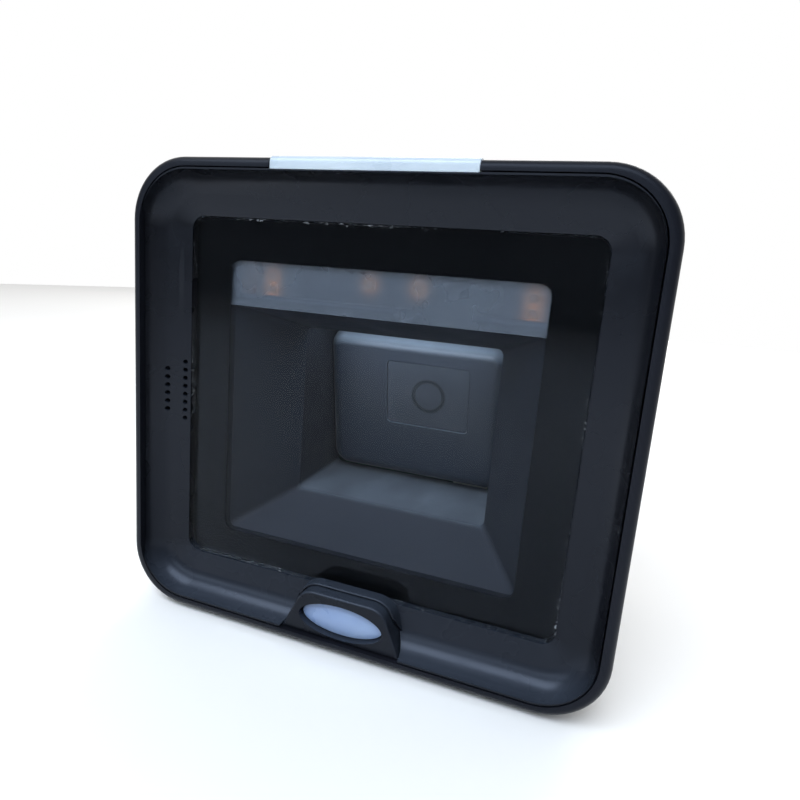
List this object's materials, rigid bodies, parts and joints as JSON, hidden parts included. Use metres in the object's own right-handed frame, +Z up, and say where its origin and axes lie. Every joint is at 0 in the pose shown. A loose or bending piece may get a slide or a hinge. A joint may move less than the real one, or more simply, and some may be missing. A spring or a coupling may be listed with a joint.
{
  "type": "flatbed barcode scanner",
  "caption": "Upright presentation barcode scanner: a dished bezel round a square glass window with an inner camera and lights, an oval push button and a lit bar on top.",
  "frame": {"origin": "middle of the bounding box's footprint, on the plane of the feet", "axes": "+X to the right of someone facing the window, +Y from the window towards the back, +Z up"},
  "size_m": [0.15, 0.092, 0.1399],
  "materials": {
    "housing_black": "fine matte moulded plastic",
    "bezel_black": "satin moulded plastic",
    "window_clear": "clear tempered glass",
    "border_ink": "black screen print",
    "foam_black": "black adhesive foam",
    "bar_milky": "milky light guide",
    "button_milky": "milky blue translucent plastic",
    "board_green": "solder mask",
    "screw_steel": "zinc plated",
    "insert_brass": "turned",
    "shroud_grey": "matte grey moulded plastic",
    "diffuser_frost": "frosted sheet",
    "reflector_white": "white moulded plastic",
    "led_yellow": "phosphor under clear dome",
    "camera_black": "satin moulded plastic",
    "camera_clear": "smoked window",
    "lens_glass": "coated optical glass",
    "anodised_black": "black anodised",
    "chip_black": "moulded package",
    "can_silver": "sleeved can",
    "connector_white": "moulded connector",
    "contact_gold": "gold plated",
    "magnet_steel": "plated",
    "cone_film": "thin film",
    "foot_rubber": "matte rubber",
    "label_silver": "blank matt label",
    "wire_black": "insulated wire",
    "flex_amber": "flexible circuit"
  },
  "bodies": {
    "scanner": {"rear_housing": "housing_black", "front_bezel": "bezel_black", "window_glass": "window_clear", "window_mask": "border_ink", "window_adhesive": "foam_black", "light_bar": "bar_milky", "light_bar_board": "board_green", "light_bar_leds": "led_yellow", "button_pod": "bezel_black", "switch_body": "chip_black", "switch_board": "board_green", "switch_spacers": "connector_white", "switch_screws": "screw_steel", "button_leds": "led_yellow", "inner_shroud": "shroud_grey", "shroud_screws": "screw_steel", "camera_screws": "screw_steel", "diffuser_panel": "diffuser_frost", "led_reflector": "reflector_white", "led_board": "board_green", "led_packages": "led_yellow", "led_board_screws": "screw_steel", "camera_housing": "camera_black", "camera_window": "camera_clear", "lens_barrel": "anodised_black", "lens_glass": "lens_glass", "lens_mount": "chip_black", "image_sensor": "chip_black", "sensor_board": "board_green", "sensor_board_screws": "screw_steel", "main_board": "board_green", "processor": "chip_black", "memory_chip": "chip_black", "power_inductor": "chip_black", "capacitors": "can_silver", "board_headers": "connector_white", "board_screws": "screw_steel", "cable_socket": "chip_black", "socket_contacts": "contact_gold", "speaker_frame": "chip_black", "speaker_cone": "cone_film", "speaker_magnet": "magnet_steel", "speaker_gasket": "foam_black", "foot_front_left": "foot_rubber", "foot_front_right": "foot_rubber", "foot_back_left": "foot_rubber", "foot_back_right": "foot_rubber", "housing_screws": "screw_steel", "mounting_inserts": "insert_brass", "rating_label": "label_silver", "led_cable": "wire_black", "button_cable": "wire_black", "speaker_cable": "wire_black", "camera_flex": "flex_amber"},
    "button": {"button_cap": "button_milky", "switch_plunger": "chip_black"}
  },
  "joints": [
    {"name": "button_press", "type": "slide", "parent": "scanner", "child": "button", "axis": [0, 1, 0], "range_m": [0, 0.0008], "stiffness_N_per_m": 1200, "springref_m": -0.0003}
  ]
}
